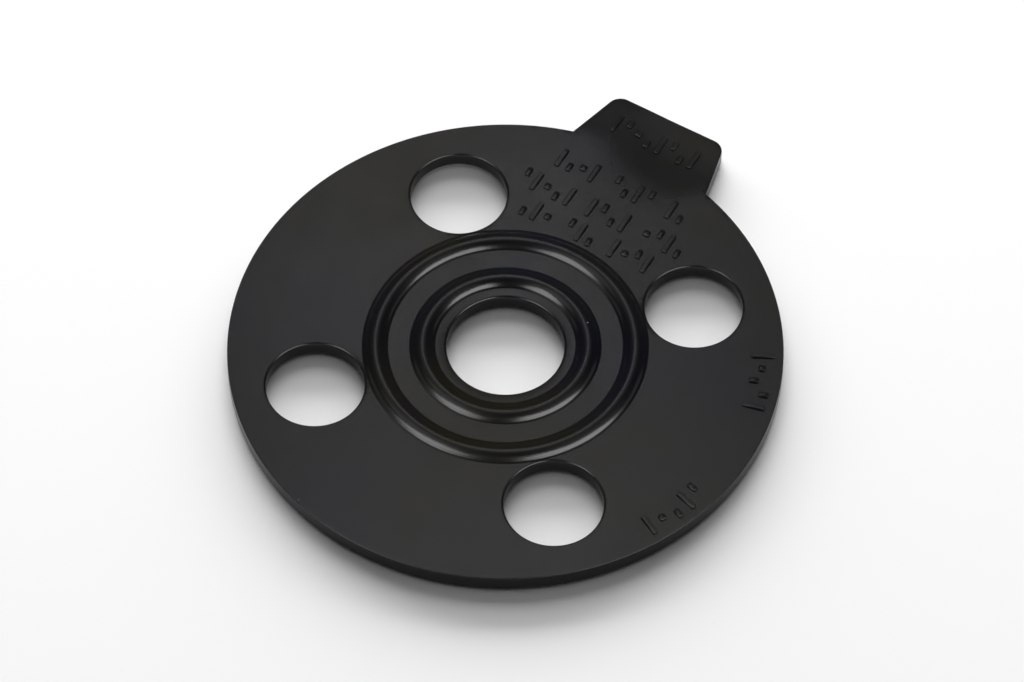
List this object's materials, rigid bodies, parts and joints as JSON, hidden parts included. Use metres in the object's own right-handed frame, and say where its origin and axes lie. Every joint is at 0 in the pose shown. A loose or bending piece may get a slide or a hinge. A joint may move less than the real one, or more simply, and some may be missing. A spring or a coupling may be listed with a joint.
{
  "type": "rubber flange gasket",
  "caption": "Round full face rubber flange gasket with a central bore, raised convex sealing rings, bolt holes and a tapered grip tab on its rim.",
  "frame": {"origin": "on the bore's axis, midway between the two faces", "axes": "+Z along the bore's axis out of one face, +Y from the bore towards the grip tab"},
  "size_m": [0.086, 0.0943, 0.0042],
  "materials": {
    "black_rubber": "satin"
  },
  "bodies": {
    "root": {"gasket": "black_rubber"}
  },
  "joints": []
}
